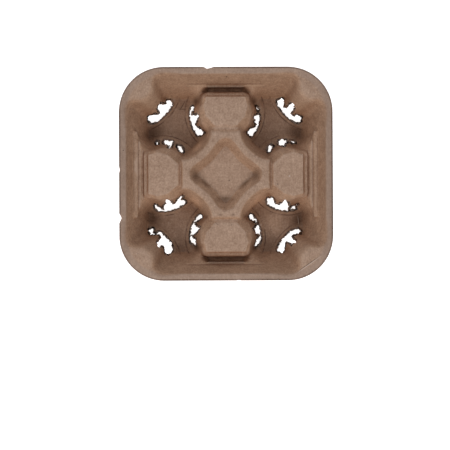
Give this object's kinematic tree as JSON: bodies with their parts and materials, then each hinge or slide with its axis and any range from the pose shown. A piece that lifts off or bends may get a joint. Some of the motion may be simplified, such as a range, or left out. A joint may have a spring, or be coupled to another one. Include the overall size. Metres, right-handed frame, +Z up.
{
  "type": "cup carrier",
  "caption": "Square moulded paper pulp cup carrier with a flat rim, round cup pockets between raised posts, torn slots round the pocket floors and a diamond recess in the centre post.",
  "frame": {"origin": "middle of the carrier on the plane that the pocket floors rest on", "axes": "+Z up, out of the cup pockets; +Y towards the side that is at the top of the picture, +X towards the side at its right"},
  "size_m": [0.216, 0.216, 0.0508],
  "materials": {
    "pulp": "matte"
  },
  "bodies": {
    "root": {"cup_carrier": "pulp"}
  },
  "joints": []
}
